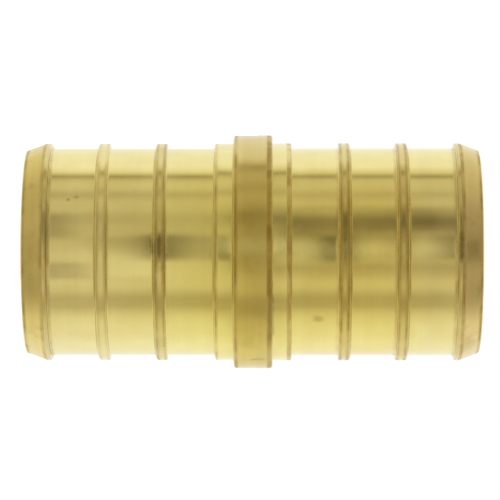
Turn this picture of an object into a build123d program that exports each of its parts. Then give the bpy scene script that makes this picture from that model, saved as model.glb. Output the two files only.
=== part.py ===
"""Straight crimp coupling that joins two ends of 1 inch cross-linked polyethylene (PEX) tube.

The real piece is turned from one brass bar, so it is one solid of revolution.
From the middle to either end its outside has a round collar that both tubes stop against,
a shoulder land, two sharp-backed ribs in the zone that the crimp ring squeezes, and a barb
with a lead-in cone that starts the tube. A plain waterway runs through it.

Millimetres. The axis is +Z, the coupling stands on its lower end face at Z = 0, and X = Y = 0
is on the axis. Both ends are alike: one half is drawn and mirrored about the middle.
"""

import os

from build123d import *

# Lengths along the axis; the first rib's height is that of its back above the middle
overall_length = 45.5
collar_width = 3.9
shoulder_width = 1.9
first_rib_height = 8.6
rib_pitch = 5.75
rib_base_width = 1.2
rib_crest_width = 1.1
barb_crest_width = 0.5
lead_in_length = 2.0
ribs_per_end = 2

# Diameters
collar_diameter = 23.5
rib_diameter = 21.9
root_diameter = 20.9
nose_diameter = 20.4
bore_diameter = 18.0

# Broken edges, and the rounded corner at each end
collar_edge_break = 0.15
rib_edge_break = 0.1
bore_chamfer = 0.3
nose_radius = 0.25

# Radii, and heights above the middle of the coupling
collar_radius = collar_diameter / 2
rib_radius = rib_diameter / 2
root_radius = root_diameter / 2
nose_tip_radius = nose_diameter / 2
bore_radius = bore_diameter / 2
end_height = overall_length / 2
collar_height = collar_width / 2
shoulder_height = collar_height + shoulder_width
barb_crest_height = end_height - lead_in_length
barb_back_height = barb_crest_height - barb_crest_width
rib_back_heights = [first_rib_height + rib_pitch * n for n in range(ribs_per_end)]

# Sketch plane of the section: its X is the radius, its Y the height above the middle
section_plane = Plane(origin=(0, 0, end_height), x_dir=(1, 0, 0), z_dir=(0, -1, 0))

# One rib of the crimp zone, its square back towards the collar and its sloped face to the tube
with BuildSketch() as rib:
    with BuildLine():
        Polyline(
            (bore_radius, 0),
            (rib_radius, 0),
            (rib_radius, rib_crest_width),
            (root_radius, rib_base_width),
            (bore_radius, rib_base_width),
            close=True,
        )
    make_face()

with BuildPart() as coupling_body:
    with BuildSketch(section_plane) as section:
        # Plain wall under the grooves, then the land and half of the collar on it
        for radius, height in (
            (root_radius, barb_back_height),
            (rib_radius, shoulder_height),
            (collar_radius, collar_height),
        ):
            with Locations((bore_radius, 0)):
                Rectangle(radius - bore_radius, height, align=(Align.MIN, Align.MIN))

        with Locations(*[(0, height) for height in rib_back_heights]):
            add(rib.sketch)

        # Barb: square back, short crest, and the cone that leads into the tube
        with BuildLine():
            Polyline(
                (bore_radius, barb_back_height),
                (rib_radius, barb_back_height),
                (rib_radius, barb_crest_height),
                (nose_tip_radius, end_height),
                (bore_radius, end_height),
                close=True,
            )
        make_face()

        # Every edge that the tube passes is broken, apart from the blunt one where the cone meets the crest
        crest_edges = section.vertices().filter_by(
            lambda v: abs(v.X - rib_radius) < 1e-6 and collar_height + 1e-6 < v.Y < barb_crest_height - 1e-6
        )
        chamfer(crest_edges, rib_edge_break)
        collar_edge = section.vertices().group_by(Axis.X)[-1].sort_by(Axis.Y)[-1]
        chamfer(collar_edge, collar_edge_break)
        mouth_edge, nose_edge = section.vertices().group_by(Axis.Y)[-1].sort_by(Axis.X)
        chamfer(mouth_edge, bore_chamfer)
        fillet(nose_edge, nose_radius)

        # The other half
        mirror(about=Plane.XZ)

    revolve(axis=Axis.Z)

coupling_body.part.label = "coupling_body"

os.makedirs("parts", exist_ok=True)
export_step(coupling_body.part, "parts/coupling_body.step")
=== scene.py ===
"""Looks of the brass crimp coupling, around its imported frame. Metres, +Z up.

The coupling stands on its lower end. The camera lies on its side, so that the picture shows the
axis level: the picture's right is +Z and its top is -X.
"""

import math

import bmesh
import bpy
from mathutils import Matrix, Vector


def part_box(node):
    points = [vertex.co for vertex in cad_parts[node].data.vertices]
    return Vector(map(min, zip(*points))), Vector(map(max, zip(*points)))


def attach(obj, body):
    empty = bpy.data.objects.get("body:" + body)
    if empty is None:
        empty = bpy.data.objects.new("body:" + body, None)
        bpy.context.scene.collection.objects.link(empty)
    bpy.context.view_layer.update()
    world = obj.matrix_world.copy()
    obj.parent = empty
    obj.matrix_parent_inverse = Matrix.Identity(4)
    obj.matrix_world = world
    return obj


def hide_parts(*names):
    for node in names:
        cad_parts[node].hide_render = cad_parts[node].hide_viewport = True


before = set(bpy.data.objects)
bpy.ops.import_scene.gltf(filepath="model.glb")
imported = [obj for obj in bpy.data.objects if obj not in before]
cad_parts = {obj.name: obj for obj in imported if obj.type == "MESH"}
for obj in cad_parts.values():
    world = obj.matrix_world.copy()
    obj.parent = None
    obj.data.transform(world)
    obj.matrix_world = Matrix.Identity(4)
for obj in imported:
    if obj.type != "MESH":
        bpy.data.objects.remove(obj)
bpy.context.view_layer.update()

MM = 0.001
NODE = "coupling_body"

# The coupling's own sizes, as the CAD model has them. Heights are above its middle.
low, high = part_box(NODE)
HALF = (high.z - low.z) / 2
COLLAR_R = (high.x - low.x) / 2
RIB_R = 10.95 * MM
ROOT_R = 10.45 * MM
NOSE_R = 10.2 * MM
BORE_R = 9.0 * MM
COLLAR_H = 1.95 * MM
SHOULDER_H = COLLAR_H + 1.9 * MM
FIRST_RIB_H = 8.6 * MM
RIB_PITCH = 5.75 * MM
RIB_BASE = 1.2 * MM
RIB_CREST = 1.1 * MM
BARB_CREST_H = HALF - 2.0 * MM
BARB_BACK_H = BARB_CREST_H - 0.5 * MM
MOUTH_CHAMFER = 0.3 * MM

# Rounding of the turned corners: a rib's front and back, the foot of each, and the rest
FRONT_ROUND = 0.25 * MM
BACK_ROUND = 0.12 * MM
FRONT_FOOT_ROUND = 0.1 * MM
BACK_FOOT_ROUND = 0.16 * MM
SHOULDER_ROUND = 0.2 * MM
SHOULDER_FOOT_ROUND = 0.08 * MM
COLLAR_ROUND = 0.28 * MM
NOSE_ROUND = 0.25 * MM
MOUTH_ROUND = 0.05 * MM

# Mesh steps: round the axis and round one corner
TURNS = 288
ARC_STEPS = 6

# How much dirt and painted shade the corners get that are alike on both sides, from 0 for none
SHOULDER_FOOT_SOIL_AND_SHADE = 0.35
LAND_FOOT_SOIL_AND_SHADE = 0.2
NOSE_SOIL_AND_SHADE = 0.7
MOUTH_SOIL_AND_SHADE = 0.4
# The foot of a rib's front has this share of the dirt and painted shade of its front edge
FRONT_FOOT_SHARE = 0.3
# An outer corner's tip gets less of the brown, and an inner corner gets more of it away from the
# flank
TIP_SHARE = 0.3
FOOT_SHARE = 0.75
FOOT_SHARE_ON_FLANK = 0.45
# How far a corner's dirt and painted shade spread past its rounding, the most that they take of a
# straight strip, and the shortest strip that they spread on
SPREAD = 0.36 * MM
SPREAD_SHARE = 0.45
SHORTEST_STRIP = 0.03 * MM


# ------------------------------------------------------------------ node helper


class Graph:
    """A node tree with one short call for each kind of node."""

    def __init__(self, owner):
        owner.use_nodes = True
        self.nodes = owner.node_tree.nodes
        self.links = owner.node_tree.links

    def feed(self, socket, value):
        if isinstance(value, bpy.types.NodeSocket):
            self.links.new(value, socket)
        elif value is not None:
            socket.default_value = value

    def node(self, kind, output=0, inputs=None, **settings):
        node = self.nodes.new(kind)
        for name, value in settings.items():
            setattr(node, name, value)
        for name, value in (inputs or {}).items():
            self.feed(node.inputs[name], value)
        return node.outputs[output]

    def math(self, operation, a, b=None):
        return self.node("ShaderNodeMath", operation=operation, inputs={0: a, 1: b})

    def soft_step(self, value, start, end, at_start=0.0, at_end=1.0):
        """A smooth change from at_start to at_end as the value goes from start to end."""
        return self.node(
            "ShaderNodeMapRange",
            interpolation_type="SMOOTHSTEP",
            inputs={
                "Value": value,
                "From Min": start,
                "From Max": end,
                "To Min": at_start,
                "To Max": at_end,
            },
        )

    def mix_color(self, factor, a, b, blend_type="MIX"):
        mix = self.nodes.new("ShaderNodeMix")
        mix.data_type = "RGBA"
        mix.blend_type = blend_type
        self.feed(mix.inputs[0], factor)
        self.feed(mix.inputs[6], a)
        self.feed(mix.inputs[7], b)
        return mix.outputs[2]

    def noise(self, vector, scale, detail):
        inputs = {"Vector": vector, "Scale": scale, "Detail": detail}
        return self.node("ShaderNodeTexNoise", inputs=inputs)

    def length(self, a, b):
        """The length of the vector (a, b)."""
        squares = self.math("MULTIPLY", a, a), self.math("MULTIPLY", b, b)
        return self.math("SQRT", self.math("ADD", *squares))

    def gray(self, value):
        """The value as a colour."""
        return self.node("ShaderNodeCombineXYZ", inputs={0: value, 1: value, 2: value})

    def position(self):
        """Each point's place on its object, and the three parts of it."""
        where = self.node("ShaderNodeTexCoord", "Object")
        x, y, z = (self.node("ShaderNodeSeparateXYZ", axis, {0: where}) for axis in range(3))
        return where, x, y, z

    def degrees_round(self, x, y):
        """Degrees round the axis from the camera's side towards -X."""
        turn = self.math("ARCTAN2", self.math("MULTIPLY", x, -1), self.math("MULTIPLY", y, -1))
        return self.math("DEGREES", turn)

    def patch(self, degrees, z, degree, height, half_turn, half_height, softness):
        """1 inside a patch on the surface and 0 outside it."""
        off_turn = self.math("ABSOLUTE", self.math("SUBTRACT", degrees, degree))
        off_height = self.math("ABSOLUTE", self.math("SUBTRACT", z, height))
        return self.math(
            "MULTIPLY",
            self.soft_step(off_turn, half_turn / softness, half_turn * softness, 1.0, 0.0),
            self.soft_step(off_height, half_height / softness, half_height * softness, 1.0, 0.0),
        )

    def ramp(self, value, stops):
        """A colour ramp over (position, colour) stops."""
        node = self.nodes.new("ShaderNodeValToRGB")
        self.feed(node.inputs[0], value)
        elements = node.color_ramp.elements
        elements.remove(elements[-1])
        elements[0].position, elements[0].color = stops[0]
        for position, color in stops[1:]:
            elements.new(position).color = color
        return node.outputs[0]


# ------------------------------------------------------------------ section and mesh


def half_section(collar_soil_and_shade, shoulder_soil_and_shade, ribs, barb, cone_name):
    """The outside from the collar's rim to the end, and the mouth of the bore.

    ribs and barb say how much dirt and painted shade the foot, the back edge and the front edge of
    each get, and ribs name their crests too. Each corner of the result is (radius, height, rounding,
    its dirt and painted shade, name of the surface that follows it).
    """
    half = [
        (COLLAR_R, COLLAR_H, COLLAR_ROUND, collar_soil_and_shade, "flank"),
        (RIB_R, COLLAR_H, SHOULDER_FOOT_ROUND, SHOULDER_FOOT_SOIL_AND_SHADE, "land"),
        (RIB_R, SHOULDER_H, SHOULDER_ROUND, shoulder_soil_and_shade, "flank"),
        (ROOT_R, SHOULDER_H, SHOULDER_FOOT_ROUND, LAND_FOOT_SOIL_AND_SHADE, "groove"),
    ]
    for n, (foot_soil_and_shade, back_soil_and_shade, front_soil_and_shade, crest_name) in enumerate(ribs):
        back = FIRST_RIB_H + RIB_PITCH * n
        half += [
            (ROOT_R, back, BACK_FOOT_ROUND, foot_soil_and_shade, "flank"),
            (RIB_R, back, BACK_ROUND, back_soil_and_shade, crest_name),
            (RIB_R, back + RIB_CREST, FRONT_ROUND, front_soil_and_shade, "flank"),
            (ROOT_R, back + RIB_BASE, FRONT_FOOT_ROUND, FRONT_FOOT_SHARE * front_soil_and_shade, "groove"),
        ]
    foot_soil_and_shade, back_soil_and_shade, front_soil_and_shade = barb
    half += [
        (ROOT_R, BARB_BACK_H, BACK_FOOT_ROUND, foot_soil_and_shade, "flank"),
        (RIB_R, BARB_BACK_H, BACK_ROUND, back_soil_and_shade, "barb crest"),
        (RIB_R, BARB_CREST_H, FRONT_ROUND, front_soil_and_shade, cone_name),
        (NOSE_R, HALF, NOSE_ROUND, NOSE_SOIL_AND_SHADE, "end"),
        (BORE_R + MOUTH_CHAMFER, HALF, MOUTH_ROUND, MOUTH_SOIL_AND_SHADE, "bore"),
        (BORE_R, HALF - MOUTH_CHAMFER, MOUTH_ROUND, 0.0, "bore"),
    ]
    return half


def section():
    """The closed section, up the outside and down the bore.

    The lower half is the upper one mirrored, apart from its dirt and painted shade and its finishes.
    """
    upper = half_section(
        collar_soil_and_shade=1.3,
        shoulder_soil_and_shade=1.4,
        ribs=[(0.7, 0.7, 0.7, "crest"), (0.9, 0.6, 0.7, "crest")],
        barb=(1.0, 0.3, 0.8),
        cone_name="upper cone",
    )
    below = half_section(
        collar_soil_and_shade=0.65,
        shoulder_soil_and_shade=0.7,
        ribs=[(0.3, 0.6, 0.6, "crest"), (0.3, 0.4, 0.4, "clean crest")],
        barb=(1.2, 0.2, 0.6),
        cone_name="lower cone",
    )
    # mirrored, a corner is followed by the surface that led to it
    surfaces = [corner[-1] for corner in below[-2::-1]] + ["collar"]
    lower = [
        (radius, -height, rounding, soil_and_shade, surface)
        for (radius, height, rounding, soil_and_shade, _), surface in zip(reversed(below), surfaces)
    ]
    return lower + upper


def round_corners(corners):
    """The section with its corners rounded.

    Gives the points, their outward normals, how much dirt and painted shade each gets (on an outer
    corner above 0, in an inner one below 0), and the surface that each strip from one point to the
    next belongs to.
    """
    count = len(corners)
    places = [Vector(corner[:2]) for corner in corners]
    steps = [places[(i + 1) % count] - places[i] for i in range(count)]
    half_bends = [(-steps[i - 1]).angle(steps[i]) / 2 for i in range(count)]
    reaches = [corner[2] / math.tan(half_bend) for corner, half_bend in zip(corners, half_bends)]
    # what the roundings leave of each straight strip, and how much of that a corner's dirt and
    # painted shade take
    left = [steps[i].length - reaches[i] - reaches[(i + 1) % count] for i in range(count)]
    spreads = [min(SPREAD, SPREAD_SHARE * length) for length in left]

    points, normals, soil_and_shade_levels, strips = [], [], [], []

    def add(point, normal, point_soil_and_shade, strip):
        points.append(point)
        normals.append(normal)
        soil_and_shade_levels.append(point_soil_and_shade)
        strips.append(strip)

    for i, (_, _, rounding, soil_and_shade, surface) in enumerate(corners):
        behind = -steps[i - 1].normalized()
        ahead = steps[i].normalized()
        center = places[i] + (behind + ahead).normalized() * rounding / math.sin(half_bends[i])
        start = places[i] + behind * reaches[i] - center
        sweep = math.pi - 2 * half_bends[i]
        side = 1 if ahead.x * behind.y - ahead.y * behind.x > 0 else -1
        outward = start.normalized() * side
        previous_surface = corners[i - 1][-1]

        if left[i - 1] > SHORTEST_STRIP:
            add(places[i] + behind * (reaches[i] + spreads[i - 1]), outward, 0, previous_surface)
        for step in range(ARC_STEPS + 1):
            share = step / ARC_STEPS
            turn = Matrix.Rotation(side * sweep * share, 2)
            # an outer corner gets dirt and a painted dark reflection, an inner corner dirt and
            # painted shade
            if side > 0:
                off_tip = abs(2 * share - 1)
                point_soil_and_shade = soil_and_shade * (TIP_SHARE + (1 - TIP_SHARE) * off_tip)
            else:
                on_flank = share if surface == "flank" else 1 - share
                point_soil_and_shade = -soil_and_shade * (FOOT_SHARE + (FOOT_SHARE_ON_FLANK - FOOT_SHARE) * on_flank)
            strip = previous_surface if share < 0.5 else surface
            add(center + turn @ start, turn @ outward, point_soil_and_shade, strip)
        if left[i] > SHORTEST_STRIP:
            add(places[i] + ahead * (reaches[i] + spreads[i]), normals[-1], 0, surface)
    return points, normals, soil_and_shade_levels, strips


def lathe(name, corners, finishes):
    """A closed solid of revolution about Z, standing on Z = 0.

    finishes gives a material for each group of the section's surfaces. The attribute "corner" tells
    the materials how much dirt and painted shade each point gets.
    """
    points, normals_2d, soil_and_shade_levels, strips = round_corners(corners)
    rows = len(points)
    vertices, normals, faces, slots = [], [], [], []
    slot_of = {surface: k for k, (surfaces, _) in enumerate(finishes) for surface in surfaces}
    for k in range(TURNS):
        c = math.cos(2 * math.pi * k / TURNS)
        s = math.sin(2 * math.pi * k / TURNS)
        vertices += [(p.x * c, p.x * s, p.y + HALF) for p in points]
        normals += [(n.x * c, n.x * s, n.y) for n in normals_2d]
        this_row = k * rows
        next_row = (k + 1) % TURNS * rows
        for i in range(rows):
            j = (i + 1) % rows
            faces.append((this_row + i, next_row + i, next_row + j, this_row + j))
            slots.append(slot_of[strips[i]])
    mesh = bpy.data.meshes.new(name)
    mesh.from_pydata(vertices, [], faces)
    for _, material in finishes:
        mesh.materials.append(material)
    mesh.polygons.foreach_set("material_index", slots)
    attribute = mesh.attributes.new("corner", "FLOAT", "POINT")
    attribute.data.foreach_set("value", soil_and_shade_levels * TURNS)
    mesh.update()
    mesh.shade_smooth()
    mesh.normals_split_custom_set_from_vertices(normals)
    piece = bpy.data.objects.new(name, mesh)
    bpy.context.scene.collection.objects.link(piece)
    return piece


# ------------------------------------------------------------------ brass


# Dark brown patches and specks on the turned faces, most of them near the camera's side: degrees
# round the axis from the camera's side towards -X, height above the middle, half sizes in both
# directions, strength
BROWN_PATCHES = [
    (1.5, -9.15 * MM, 8, 0.7 * MM, 0.65),
    (2, 20.5 * MM, 8, 0.3 * MM, 0.85),
    (1, 21.7 * MM, 7, 0.8 * MM, 0.25),
    (8, 9.2 * MM, 12, 0.6 * MM, 0.35),
    (12, -20.4 * MM, 13, 0.35 * MM, 0.3),
    (29.6, -18.1 * MM, 1.1, 0.22 * MM, 0.42),
    (31, -17.4 * MM, 1.1, 0.34 * MM, 0.32),
    (-39, 6.4 * MM, 2.4, 0.5 * MM, 0.4),
    (-35, 1.85 * MM, 15, 0.28 * MM, 0.45),
    (-66, 0.4 * MM, 1.6, 0.7 * MM, 0.3),
]
BROWN_PATCH_COLOR = (0.27, 0.20, 0.075, 1)
# Where a patch starts to fade and where it ends, in shares of its half sizes, and how far each may
# wander
BROWN_PATCH_FADE = (0.4, 1.5)
BROWN_PATCH_WANDER = 0.3
# The brass's tint by share of its height, a painted warm reflection tone that is warmer away from
# the ends. Between the two angles it gives way to the even tint of the side towards -X, and at the
# back, where the degrees start again, the two meet in a line.
TINTS = [
    (0.1, (1, 1, 1, 1)),
    (0.27, (1, 1, 0.91, 1)),
    (0.35, (1, 1, 0.80, 1)),
    (0.49, (1, 0.99, 0.70, 1)),
    (0.57, (1, 0.99, 0.78, 1)),
    (0.63, (1, 0.97, 0.74, 1)),
    (0.78, (1, 0.96, 0.71, 1)),
    (0.88, (1, 0.99, 0.92, 1)),
]
EVEN_TINT = (1, 1, 0.93, 1)
TINT_DEGREES = (20, 60)
# What the metal's colour is multiplied by where it has dirt and painted shade or is tarnished, and
# where it is paler
BROWNER = (0.69, 0.60, 0.50)
PALER = (1.05, 1.06, 1.12)
# Noises, as (scale, detail), and between which levels of a noise the thing sets in
RINGS = (40, 3)
FINE_RINGS = (60, 2)
CLOUDS = (260, 3)
CLOUD_LEVELS = (0.35, 0.7)
TARNISH = (420, 4)
TARNISH_LEVELS = (0.5, 0.72)
SOIL_AND_SHADE_PATCHES = (450, 3)
SOIL_AND_SHADE_PATCH_LEVELS = (0.35, 0.65)
WANDERING = (900, 2)
# Most of any noise lies between these levels
NOISE_LEVELS = (0.3, 0.7)
# How much closer the rings are along the profile than round the axis
RING_SQUEEZE = 24
FINE_RING_SQUEEZE = 120
# The fine rings' strength as a bump, to which a finish's streaks are added, and their depth
RING_STRENGTH = 0.05
RING_DEPTH = 0.004 * MM
# Where the mesh's "corner" reaches these, an outer corner and an inner one are browned most. An
# inner corner then has the share below of the brown, and between the patches only a share of it all
# is left.
OUTER_MOST = 0.8
INNER_MOST = -1.0
INNER_SOIL_AND_SHADE = 0.8
SOIL_AND_SHADE_PATCH_SHARE = 0.5
# Between these angles from the camera's side the dirt and painted shade thin to the share of the far
# side
SOIL_AND_SHADE_DEGREES = (30, 65)
FAR_SOIL_AND_SHADE_SHARE = 0.75
# How much rougher the dirt and painted shade make the brass, and between which shares its own
# roughness varies
SOIL_AND_SHADE_ROUGHNESS = 0.5
ROUGHNESS_SHARES = (0.85, 1.2)
# Finishes: the surfaces that have each, its name, colour, roughness, streaks and tarnish
FINISHES = [
    (("groove", "land"), "turned_brass", (0.85, 0.745, 0.35), 0.11, 0.02, 0.05),
    (("crest", "flank"), "crest_brass", (0.72, 0.60, 0.265), 0.13, 0.04, 0.2),
    (("barb crest",), "barb_crest_brass", (0.71, 0.595, 0.265), 0.17, 0.04, 0.3),
    (("clean crest",), "clean_crest_brass", (0.81, 0.70, 0.32), 0.14, 0.03, 0.1),
    (("collar",), "collar_brass", (0.70, 0.565, 0.235), 0.2, 0.05, 0.2),
    (("lower cone",), "lower_cone_brass", (0.80, 0.655, 0.258), 0.24, 0.04, 0.45),
    (("upper cone",), "upper_cone_brass", (0.79, 0.645, 0.325), 0.24, 0.04, 0.45),
    (("end",), "end_brass", (0.76, 0.68, 0.35), 0.22, 0.05, 0.1),
    (("bore",), "bore_brass", (0.70, 0.60, 0.30), 0.28, 0.06, 0.25),
]


def multiplied(color, shares):
    """The colour with each channel multiplied by its share."""
    return (*(min(channel * share, 1) for channel, share in zip(color, shares)), 1)


def brass(name, color, roughness, streaks, tarnish):
    """Turned brass: rings of the tool round the axis, soft mottling, and corners browned by dirt and
    painted shade.

    streaks is how strong the rings are, and tarnish how much of the surface is browner.
    """
    material = bpy.data.materials.new(name)
    graph = Graph(material)
    shader = graph.nodes["Principled BSDF"]
    shader.inputs["Metallic"].default_value = 1

    where, x, y, z = graph.position()
    degrees = graph.degrees_round(x, y)
    along = graph.math("ADD", z, graph.length(x, y))

    def ring_noise(squeeze, scale, detail):
        height = graph.math("MULTIPLY", along, squeeze)
        place = graph.node("ShaderNodeCombineXYZ", inputs={0: x, 1: y, 2: height})
        return graph.noise(place, scale, detail)

    # the metal: paler clouds, brown tarnish and the tone of the rings
    brown = multiplied(color, BROWNER)
    pale = multiplied(color, PALER)
    clouds = graph.noise(where, *CLOUDS)
    base = graph.mix_color(graph.soft_step(clouds, *CLOUD_LEVELS), (*color, 1), pale)
    tarnished = graph.soft_step(graph.noise(where, *TARNISH), *TARNISH_LEVELS)
    base = graph.mix_color(graph.math("MULTIPLY", tarnished, tarnish), base, brown)
    rings = ring_noise(RING_SQUEEZE, *RINGS)
    ring_tone = graph.soft_step(rings, *NOISE_LEVELS, 1 - streaks, 1 + streaks)
    base = graph.mix_color(1, base, graph.gray(ring_tone), "MULTIPLY")

    # dirt and painted shade on and along the corners, in patches, stronger on the camera's side:
    # painted shade in the inner corners and a painted dark reflection along the outer edges
    corner = graph.node("ShaderNodeAttribute", "Fac", attribute_name="corner")
    outer = graph.soft_step(corner, 0, OUTER_MOST)
    inner = graph.soft_step(corner, 0, INNER_MOST, 0, INNER_SOIL_AND_SHADE)
    patches = graph.noise(where, *SOIL_AND_SHADE_PATCHES)
    patchy = graph.soft_step(patches, *SOIL_AND_SHADE_PATCH_LEVELS, SOIL_AND_SHADE_PATCH_SHARE, 1)
    soil_and_shade = graph.math("MULTIPLY", graph.math("ADD", outer, inner), patchy)
    off_camera = graph.math("ABSOLUTE", degrees)
    soil_and_shade_share = graph.soft_step(off_camera, *SOIL_AND_SHADE_DEGREES, 1, FAR_SOIL_AND_SHADE_SHARE)
    soil_and_shade = graph.math("MULTIPLY", soil_and_shade, soil_and_shade_share)
    base = graph.mix_color(soil_and_shade, base, brown)

    # dark brown patches with wandering edges
    wander = graph.noise(where, *WANDERING)
    wander = graph.soft_step(wander, *NOISE_LEVELS, -BROWN_PATCH_WANDER, BROWN_PATCH_WANDER)
    for degree, height, half_turn, half_height, strength in BROWN_PATCHES:
        across = graph.math("DIVIDE", graph.math("SUBTRACT", degrees, degree), half_turn)
        up = graph.math("DIVIDE", graph.math("SUBTRACT", z, height + HALF), half_height)
        away = graph.math("ADD", graph.length(across, up), wander)
        base = graph.mix_color(graph.soft_step(away, *BROWN_PATCH_FADE, strength, 0), base, BROWN_PATCH_COLOR)

    # painted warm reflection tone, by height, on all but the side towards -X
    tint = graph.ramp(graph.math("DIVIDE", z, 2 * HALF), TINTS)
    tint = graph.mix_color(graph.soft_step(degrees, *TINT_DEGREES), tint, EVEN_TINT)
    base = graph.mix_color(1, base, tint, "MULTIPLY")
    graph.links.new(base, shader.inputs["Base Color"])

    least, most = (roughness * share for share in ROUGHNESS_SHARES)
    rough = graph.soft_step(clouds, *NOISE_LEVELS, least, most)
    rough = graph.math("ADD", rough, graph.math("MULTIPLY", soil_and_shade, SOIL_AND_SHADE_ROUGHNESS))
    graph.links.new(rough, shader.inputs["Roughness"])
    fine_rings = ring_noise(FINE_RING_SQUEEZE, *FINE_RINGS)
    strength = RING_STRENGTH + streaks
    bump_inputs = {"Height": fine_rings, "Strength": strength, "Distance": RING_DEPTH}
    bump = graph.node("ShaderNodeBump", inputs=bump_inputs)
    graph.links.new(bump, shader.inputs["Normal"])
    return material


finishes = [(surfaces, brass(*look)) for surfaces, *look in FINISHES]
coupling = lathe("coupling", section(), finishes)
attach(coupling, "root")
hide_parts(NODE)


# ------------------------------------------------------------------ light tent and floor

# The coupling is polished, so what it shows is the tent round it, a sphere about its middle that
# only reflections see. Its levels, as (degrees, level), go round the axis from the camera's side
# towards -X, for what the lower half, the collar and the upper half mirror.
TENT_R = 120 * MM
TENT_SEGMENTS = 96
TENT_RINGS = 48
LOWER_BANDS = [
    (-120, 1.0), (-100, 0.91), (-85, 0.88), (-75, 0.82), (-70, 0.75), (-65, 0.66), (-60, 0.54),
    (-50, 0.51), (-45, 0.59), (-40, 0.69), (-36, 0.73), (-24, 0.72), (-12, 0.68), (0, 0.62),
    (12, 0.57), (28, 0.56), (36, 0.54), (40, 0.57), (45, 0.63), (54, 0.65), (60, 0.56), (63, 0.52),
    (66, 0.57), (69, 0.65), (75, 0.71), (81, 0.68), (86, 0.52), (88, 0.34), (90, 0.52), (94, 0.80),
    (97, 0.90), (105, 1.0),
]
MIDDLE_BANDS = [
    (-150, 0.98), (-130, 0.90), (-110, 0.98), (-90, 0.71), (-75, 0.67), (-65, 0.60), (-60, 0.44),
    (-50, 0.37), (-45, 0.41), (-40, 0.57), (-32, 0.65), (-24, 0.60), (-16, 0.45), (-8, 0.32),
    (-4, 0.54), (2, 1.0), (8, 1.0), (14, 0.80), (24, 0.56), (34, 0.25), (40, 0.46), (54, 0.67),
    (62, 0.50), (69, 0.64), (75, 0.66), (81, 0.61), (86, 0.42), (90, 0.66), (94, 0.92), (100, 1.0),
    (110, 1.0),
]
UPPER_BANDS = [
    (-120, 1.0), (-100, 0.93), (-85, 0.88), (-75, 0.81), (-70, 0.75), (-65, 0.66), (-60, 0.53),
    (-50, 0.50), (-45, 0.57), (-40, 0.66), (-36, 0.70), (-31, 0.68), (-24, 0.56), (-16, 0.47),
    (-10, 0.54), (0, 0.64), (6, 0.62), (12, 0.51), (24, 0.27), (30, 0.24), (35, 0.27), (44, 0.46),
    (51, 0.61), (54, 0.64), (63, 0.54), (66, 0.57), (70, 0.64), (76, 0.68), (83.5, 0.66),
    (88.3, 0.36), (94, 0.76), (105, 1.0),
]
# Farther up and down both halves have the same levels, and the poles have a single one
FAR_BANDS = [
    (-180, 0.98), (-114, 0.95), (-85, 0.86), (-72, 0.72), (-62, 0.56), (-52, 0.40), (-40, 0.42),
    (-20, 0.49), (0, 0.45), (35, 0.57), (60, 0.56), (75, 0.60), (100, 0.74), (128, 0.84),
    (180, 0.98),
]
POLE_LEVEL = (0.85, 0.85, 0.85, 1)
# The heights above the middle, and the distances from it, between which one gives way to the next
LOWER_TO_MIDDLE = (-4 * MM, -2.8 * MM)
MIDDLE_TO_UPPER = (1.1 * MM, 2.3 * MM)
SIDES_TO_FAR = (0.3 * TENT_R, 0.55 * TENT_R)
FAR_TO_POLE = (0.82 * TENT_R, 0.97 * TENT_R)
# The colour of each level: what is dim is warmer too
TONES = [
    (0.0, (0.0, 0.0, 0.0, 1)),
    (0.25, (0.25, 0.212, 0.135, 1)),
    (0.5, (0.5, 0.445, 0.30, 1)),
    (0.7, (0.7, 0.64, 0.46, 1)),
    (0.86, (0.86, 0.835, 0.67, 1)),
    (1.0, (1.0, 1.0, 1.0, 1)),
]
# Soft patches of the tent that are darker or brighter: degrees round, height above the middle,
# half sizes in both directions, and by what share they change its level
CARDS = [
    (-20, -28 * MM, 8, 5.5 * MM, -0.36),
    (3, -27 * MM, 9, 4 * MM, 0.12),
    (28, -29 * MM, 12, 4 * MM, -0.34),
    (-11, -17.6 * MM, 14, 4.6 * MM, 0.17),
    (-50, -25.5 * MM, 9, 4 * MM, 0.09),
    (22, -20.6 * MM, 7, 3.4 * MM, 0.1),
    (7, -13.2 * MM, 8.5, 6 * MM, -0.13),
    (5, -12.4 * MM, 12.5, 2 * MM, -0.9),
    (4, -4.6 * MM, 11.5, 1.1 * MM, -0.76),
    (14, -52 * MM, 14, 16 * MM, -0.25),
    (14, 52 * MM, 14, 16 * MM, -0.17),
    (-10, 3 * MM, 5, 1.2 * MM, 0.15),
    (9, 3.3 * MM, 12, 1.15 * MM, -0.58),
    (32, 3 * MM, 5, 1.2 * MM, 0.2),
    (1, 6.2 * MM, 13, 1.6 * MM, 0.38),
    (28, 5.4 * MM, 9, 2 * MM, -0.16),
    (3, 10.2 * MM, 13, 2.2 * MM, -0.92),
    (33, 9.3 * MM, 11, 2 * MM, 0.28),
    (2, 13.9 * MM, 13, 1.5 * MM, 0.35),
    (24, 16.8 * MM, 7, 2.2 * MM, 0.1),
    (5, 18.3 * MM, 11, 1.4 * MM, -0.32),
    (8, 22.8 * MM, 14, 2.6 * MM, 0.3),
    (38, 22 * MM, 9, 3 * MM, -0.2),
    (5, 26 * MM, 12, 2.2 * MM, -0.8),
    (35, 25.8 * MM, 10, 1.4 * MM, 0.22),
    (22, 84 * MM, 34, 26 * MM, -0.28),
    (-66, 84 * MM, 10, 26 * MM, -0.2),
]
# A card fades from its half sizes divided by this to its half sizes times this
CARD_SOFTNESS = 1.4

# The floor is pale and glows a little, so that it renders white and still takes a shadow
FLOOR_REACH = 4
FLOOR_GRAY = (0.9, 0.9, 0.9, 1)
FLOOR_GLOW = 0.5
WHITE = (1, 1, 1, 1)


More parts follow.
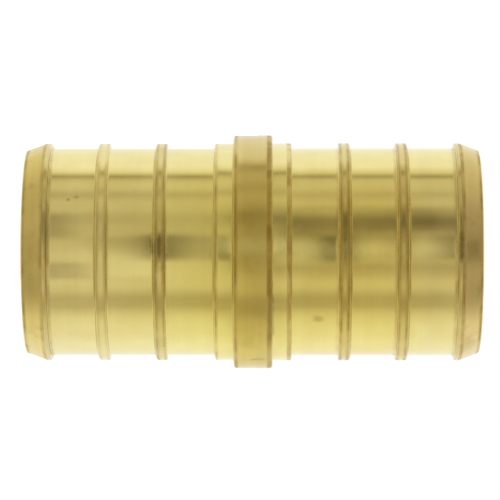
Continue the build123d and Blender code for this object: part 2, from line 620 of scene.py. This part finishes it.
def tent_material():
    material = bpy.data.materials.new("tent")
    material.cycles.emission_sampling = "NONE"
    graph = Graph(material)
    graph.nodes.clear()
    _, x, y, z = graph.position()
    degrees = graph.degrees_round(x, y)
    share = graph.math("ADD", graph.math("DIVIDE", degrees, 360), 0.5)
    lower, middle, upper, far = (
        graph.ramp(share, [((d + 180) / 360, (level, level, level, 1)) for d, level in bands])
        for bands in (LOWER_BANDS, MIDDLE_BANDS, UPPER_BANDS, FAR_BANDS)
    )
    off_middle = graph.math("ABSOLUTE", z)
    level = graph.mix_color(graph.soft_step(z, *LOWER_TO_MIDDLE), lower, middle)
    level = graph.mix_color(graph.soft_step(z, *MIDDLE_TO_UPPER), level, upper)
    level = graph.mix_color(graph.soft_step(off_middle, *SIDES_TO_FAR), level, far)
    level = graph.mix_color(graph.soft_step(off_middle, *FAR_TO_POLE), level, POLE_LEVEL)
    for degree, height, half_turn, half_height, change in CARDS:
        inside = graph.patch(degrees, z, degree, height, half_turn, half_height, CARD_SOFTNESS)
        factor = graph.math("ADD", 1, graph.math("MULTIPLY", inside, change))
        level = graph.math("MULTIPLY", level, factor)
    color = graph.ramp(level, TONES)
    emission = graph.node("ShaderNodeEmission", inputs={"Color": color})
    out = graph.nodes.new("ShaderNodeOutputMaterial")
    graph.links.new(emission, out.inputs["Surface"])
    return material


def tent():
    shape = bmesh.new()
    segments = {"u_segments": TENT_SEGMENTS, "v_segments": TENT_RINGS}
    bmesh.ops.create_uvsphere(shape, radius=TENT_R, **segments)
    mesh = bpy.data.meshes.new("tent")
    shape.to_mesh(mesh)
    shape.free()
    mesh.materials.append(tent_material())
    piece = bpy.data.objects.new("tent", mesh)
    piece.location.z = HALF
    bpy.context.scene.collection.objects.link(piece)
    piece.visible_camera = False
    piece.visible_diffuse = False
    piece.visible_shadow = False


def white_world():
    world = bpy.data.worlds.new("white")
    bpy.context.scene.world = world
    graph = Graph(world)
    graph.nodes["Background"].inputs["Color"].default_value = WHITE


def floor():
    corners = [
        (-FLOOR_REACH, -FLOOR_REACH, 0),
        (FLOOR_REACH, -FLOOR_REACH, 0),
        (FLOOR_REACH, FLOOR_REACH, 0),
        (-FLOOR_REACH, FLOOR_REACH, 0),
    ]
    mesh = bpy.data.meshes.new("floor")
    mesh.from_pydata(corners, [], [(0, 1, 2, 3)])
    material = bpy.data.materials.new("floor_white")
    graph = Graph(material)
    shader = graph.nodes["Principled BSDF"]
    shader.inputs["Base Color"].default_value = FLOOR_GRAY
    shader.inputs["Roughness"].default_value = 1
    shader.inputs["Specular IOR Level"].default_value = 0
    shader.inputs["Emission Color"].default_value = WHITE
    shader.inputs["Emission Strength"].default_value = FLOOR_GLOW
    mesh.materials.append(material)
    piece = bpy.data.objects.new("floor", mesh)
    bpy.context.scene.collection.objects.link(piece)
    piece.visible_glossy = False


tent()
white_world()
floor()


# ------------------------------------------------------------------ camera

# It looks along +Y from a little above the coupling's middle. VIEW_WIDTH is how much of the
# coupling's axis fits the frame, and the shifts, in shares of the frame, centre it as in the photo.
CAMERA_AWAY = 340 * MM
CAMERA_ABOVE_MIDDLE = 2.43 * MM
VIEW_WIDTH = 50.55 * MM
SHIFT_X = -0.0541
SHIFT_Y = 0.0036
SENSOR = 36
CLIP_START = 0.01
CLIP_END = 10

camera_data = bpy.data.cameras.new("camera")
camera_data.sensor_width = SENSOR
camera_data.lens = SENSOR * CAMERA_AWAY / VIEW_WIDTH
camera_data.shift_x = SHIFT_X
camera_data.shift_y = SHIFT_Y
camera_data.clip_start = CLIP_START
camera_data.clip_end = CLIP_END
camera = bpy.data.objects.new("camera", camera_data)
camera.matrix_world = Matrix(
    (
        (0, -1, 0, 0),
        (0, 0, -1, -CAMERA_AWAY),
        (1, 0, 0, HALF + CAMERA_ABOVE_MIDDLE),
        (0, 0, 0, 1),
    )
)
bpy.context.scene.collection.objects.link(camera)
bpy.context.scene.camera = camera
bpy.context.scene.view_settings.view_transform = "Standard"
